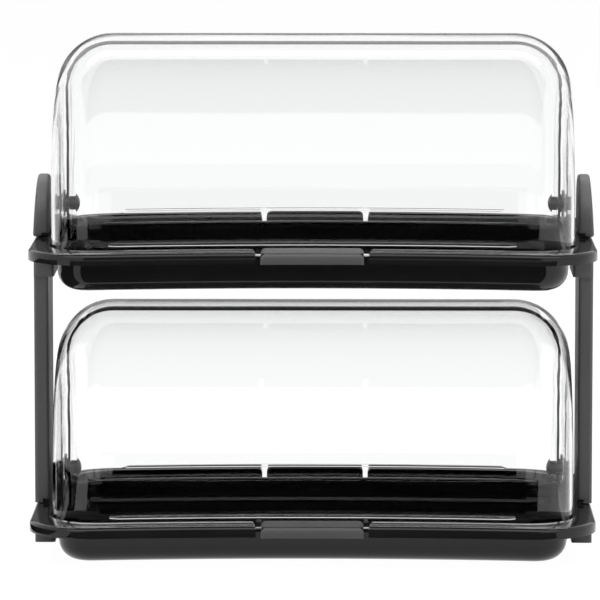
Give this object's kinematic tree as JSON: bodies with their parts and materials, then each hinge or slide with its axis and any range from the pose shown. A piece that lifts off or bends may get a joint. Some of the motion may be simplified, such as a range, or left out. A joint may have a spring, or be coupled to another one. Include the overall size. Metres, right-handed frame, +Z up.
{
  "type": "countertop bread display bin",
  "caption": "Two-tier countertop display bin: gloss black trays on side uprights, each under a clear roll-top hood of nested shells that turn about end pivots.",
  "frame": {"origin": "on the table, under the middle of the bin", "axes": "+X along the long side to the right as seen from the front, +Y from front to back, +Z up"},
  "size_m": [0.4484, 0.32, 0.4098],
  "materials": {
    "gloss_black": "polished moulding",
    "grip_grey": "matt, fine texture",
    "clear_hood": "clear polished",
    "pivot_black": "smooth",
    "stand_black": "satin, fine texture"
  },
  "bodies": {
    "stand": {"upper_tray": "gloss_black", "lower_tray": "gloss_black", "upper_front_grip": "grip_grey", "upper_rear_grip": "grip_grey", "lower_front_grip": "grip_grey", "lower_rear_grip": "grip_grey", "left_upright": "stand_black", "right_upright": "stand_black", "left_foot": "stand_black", "right_foot": "stand_black", "left_finger_cap": "stand_black", "right_finger_cap": "stand_black"},
    "upper_pivots": {"upper_left_pin": "pivot_black", "upper_right_pin": "pivot_black", "upper_left_washer": "pivot_black", "upper_right_washer": "pivot_black", "upper_left_pivot_cap": "pivot_black", "upper_right_pivot_cap": "pivot_black"},
    "upper_front_hood": {"upper_front_shell": "clear_hood"},
    "upper_rear_hood": {"upper_rear_shell": "clear_hood"},
    "lower_pivots": {"lower_left_pin": "pivot_black", "lower_right_pin": "pivot_black", "lower_left_washer": "pivot_black", "lower_right_washer": "pivot_black", "lower_left_pivot_cap": "pivot_black", "lower_right_pivot_cap": "pivot_black"},
    "lower_front_hood": {"lower_front_shell": "clear_hood"},
    "lower_rear_hood": {"lower_rear_shell": "clear_hood"}
  },
  "joints": [
    {"name": "upper_hood_lift", "type": "slide", "parent": "stand", "child": "upper_pivots", "axis": [0, 0, 1], "range_m": [0, 0.06]},
    {"name": "upper_front_roll", "type": "hinge", "parent": "upper_pivots", "child": "upper_front_hood", "pos_m": [0, 0, 0.273], "axis": [-1, 0, 0], "range_deg": [0, 90]},
    {"name": "upper_rear_roll", "type": "hinge", "parent": "upper_pivots", "child": "upper_rear_hood", "pos_m": [0, 0, 0.273], "axis": [1, 0, 0], "range_deg": [0, 90]},
    {"name": "lower_hood_lift", "type": "slide", "parent": "stand", "child": "lower_pivots", "axis": [0, 0, 1], "range_m": [0, 0.012]},
    {"name": "lower_front_roll", "type": "hinge", "parent": "lower_pivots", "child": "lower_front_hood", "pos_m": [0, 0, 0.0585], "axis": [-1, 0, 0], "range_deg": [0, 90]},
    {"name": "lower_rear_roll", "type": "hinge", "parent": "lower_pivots", "child": "lower_rear_hood", "pos_m": [0, 0, 0.0585], "axis": [1, 0, 0], "range_deg": [0, 90]}
  ]
}
